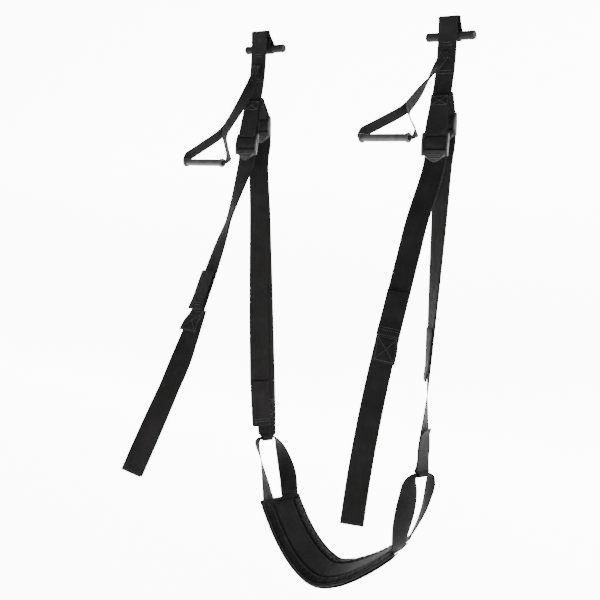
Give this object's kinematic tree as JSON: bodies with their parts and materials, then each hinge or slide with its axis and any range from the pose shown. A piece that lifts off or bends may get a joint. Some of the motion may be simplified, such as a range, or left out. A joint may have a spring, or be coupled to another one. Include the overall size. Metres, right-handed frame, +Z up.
{
  "type": "over-door suspension sling",
  "caption": "Over-door webbing sling: two top anchors with bars, pull handles, foot loops on adjustable straps and a hanging padded strap seat.",
  "frame": {"origin": "on the door's top front edge line, midway between the two anchors, at the underside of the top folds", "axes": "+X along the door to the viewer's right, +Y away from the room through the door, +Z up"},
  "size_m": [0.7094, 0.4853, 1.3765],
  "materials": {
    "webbing": "black woven polyester webbing with a fine ribbed weave",
    "bar_paint": "black satin paint on a steel tube",
    "cap_plastic": "black matt plastic end caps",
    "buckle_plastic": "moulded black plastic, slightly glossy on edges",
    "grip_plastic": "dark grey moulded plastic tube",
    "cover_cloth": "black woven cover cloth, plain weave",
    "pad_foam": "dark closed-cell foam sheet inside the cover"
  },
  "bodies": {
    "door_top": {"left_top_fold": "webbing", "right_top_fold": "webbing"},
    "front_drops": {"left_front_drop": "webbing", "left_front_tab": "webbing", "left_rear_tab": "webbing", "right_front_drop": "webbing", "right_front_tab": "webbing", "right_rear_tab": "webbing"},
    "seat_hanger": {"left_rear_buckle": "buckle_plastic", "left_seat_turn": "webbing", "left_seat_strap": "webbing", "left_seat_tail": "webbing", "right_rear_buckle": "buckle_plastic", "right_seat_turn": "webbing", "right_seat_strap": "webbing", "right_seat_tail": "webbing"},
    "seat": {"left_seat_eye": "webbing", "left_end_loop": "webbing", "right_seat_eye": "webbing", "right_end_loop": "webbing", "seat_foam": "pad_foam", "seat_cover_top": "cover_cloth", "seat_cover_bottom": "cover_cloth", "seat_binding_front": "webbing", "seat_binding_back": "webbing", "seat_webbing_front": "webbing", "seat_webbing_back": "webbing"},
    "left_anchor": {"left_back_strap": "webbing"},
    "left_bar": {"left_anchor_bar": "bar_paint", "left_bar_cap_right": "cap_plastic", "left_bar_cap_left": "cap_plastic"},
    "left_handle": {"left_handle_strap": "webbing"},
    "left_grip": {"left_grip_tube": "grip_plastic", "left_grip_collar_left": "grip_plastic", "left_grip_collar_right": "grip_plastic"},
    "left_leg": {"left_front_buckle": "buckle_plastic", "left_leg_turn": "webbing", "left_leg_strap": "webbing", "left_leg_tail": "webbing"},
    "left_leg_pull": {"left_leg_tail_end": "webbing"},
    "left_loop": {"left_stirrup_loop": "webbing", "left_loop_patch": "webbing"},
    "left_seat_pull": {"left_seat_tail_end": "webbing"},
    "right_anchor": {"right_back_strap": "webbing"},
    "right_bar": {"right_anchor_bar": "bar_paint", "right_bar_cap_right": "cap_plastic", "right_bar_cap_left": "cap_plastic"},
    "right_handle": {"right_handle_strap": "webbing"},
    "right_grip": {"right_grip_tube": "grip_plastic", "right_grip_collar_left": "grip_plastic", "right_grip_collar_right": "grip_plastic"},
    "right_leg": {"right_front_buckle": "buckle_plastic", "right_leg_turn": "webbing", "right_leg_strap": "webbing", "right_leg_tail": "webbing"},
    "right_leg_pull": {"right_leg_tail_end": "webbing"},
    "right_loop": {"right_stirrup_loop": "webbing", "right_loop_patch": "webbing"},
    "right_seat_pull": {"right_seat_tail_end": "webbing"}
  },
  "joints": [
    {"name": "sling_swing", "type": "hinge", "parent": "door_top", "child": "front_drops", "pos_m": [0, -0.0023, 0.002], "axis": [-1, 0, 0], "range_deg": [0, 45]},
    {"name": "left_anchor_swing", "type": "hinge", "parent": "door_top", "child": "left_anchor", "pos_m": [-0.28, 0.0133, 0.002], "axis": [1, 0, 0], "range_deg": [-8, 60]},
    {"name": "left_bar_turn", "type": "hinge", "parent": "left_anchor", "child": "left_bar", "pos_m": [-0.28, 0.023, -0.043], "axis": [1, 0, 0], "continuous": true},
    {"name": "left_handle_swing", "type": "hinge", "parent": "front_drops", "child": "left_handle", "pos_m": [-0.28, -0.009, -0.084], "axis": [-1, 0, 0], "range_deg": [0, 60]},
    {"name": "left_grip_turn", "type": "hinge", "parent": "left_handle", "child": "left_grip", "pos_m": [-0.28, -0.21111, -0.32985], "axis": [1, 0, 0], "continuous": true},
    {"name": "left_leg_swing", "type": "hinge", "parent": "front_drops", "child": "left_leg", "pos_m": [-0.28, -0.046, -0.262], "axis": [-0.9848, -0.1736, 0], "range_deg": [-2, 20]},
    {"name": "left_loop_slide", "type": "slide", "parent": "left_leg", "child": "left_loop", "axis": [-0.0457, -0.4323, -0.9006], "range_m": [0, 0.08], "deforming": ["left_leg_strap"]},
    {"name": "left_leg_tail_slide", "type": "slide", "parent": "left_leg", "child": "left_leg_pull", "axis": [0.0457, 0.4323, 0.9006], "range_m": [0, 0.08]},
    {"name": "right_anchor_swing", "type": "hinge", "parent": "door_top", "child": "right_anchor", "pos_m": [0.28, 0.0133, 0.002], "axis": [1, 0, 0], "range_deg": [0, 60]},
    {"name": "right_bar_turn", "type": "hinge", "parent": "right_anchor", "child": "right_bar", "pos_m": [0.28, 0.012, -0.043], "axis": [1, 0, 0], "continuous": true},
    {"name": "right_handle_swing", "type": "hinge", "parent": "front_drops", "child": "right_handle", "pos_m": [0.28, -0.008, -0.078], "axis": [-1, 0, 0], "range_deg": [-3, 60]},
    {"name": "right_grip_turn", "type": "hinge", "parent": "right_handle", "child": "right_grip", "pos_m": [0.28, -0.24965, -0.2718], "axis": [1, 0, 0], "continuous": true},
    {"name": "right_leg_swing", "type": "hinge", "parent": "front_drops", "child": "right_leg", "pos_m": [0.28, -0.046, -0.262], "axis": [-0.9397, -0.342, 0], "range_deg": [-2, 20]},
    {"name": "right_loop_slide", "type": "slide", "parent": "right_leg", "child": "right_loop", "axis": [0.0448, -0.4678, -0.8827], "range_m": [0, 0.08], "deforming": ["right_leg_strap"]},
    {"name": "right_leg_tail_slide", "type": "slide", "parent": "right_leg", "child": "right_leg_pull", "axis": [-0.0448, 0.4678, 0.8827], "range_m": [0, 0.08]},
    {"name": "seat_swing", "type": "hinge", "parent": "front_drops", "child": "seat_hanger", "pos_m": [0, -0.001, -0.216], "axis": [-0.9997, 0.025, 0], "range_deg": [-4, 2]},
    {"name": "seat_slide", "type": "slide", "parent": "seat_hanger", "child": "seat", "axis": [0, 0, -1], "range_m": [0, 0.08], "deforming": ["left_seat_strap", "right_seat_strap"]},
    {"name": "left_seat_tail_slide", "type": "slide", "parent": "seat_hanger", "child": "left_seat_pull", "axis": [-0.0359, 0, 0.9994], "range_m": [0, 0.08]},
    {"name": "right_seat_tail_slide", "type": "slide", "parent": "seat_hanger", "child": "right_seat_pull", "axis": [0.0359, 0, 0.9994], "range_m": [0, 0.08]}
  ],
  "couplings": [
    {"joint": "left_leg_tail_slide", "follows": "left_loop_slide", "ratio": 1},
    {"joint": "right_leg_tail_slide", "follows": "right_loop_slide", "ratio": 1},
    {"joint": "left_seat_tail_slide", "follows": "seat_slide", "ratio": 1},
    {"joint": "right_seat_tail_slide", "follows": "seat_slide", "ratio": 1}
  ]
}
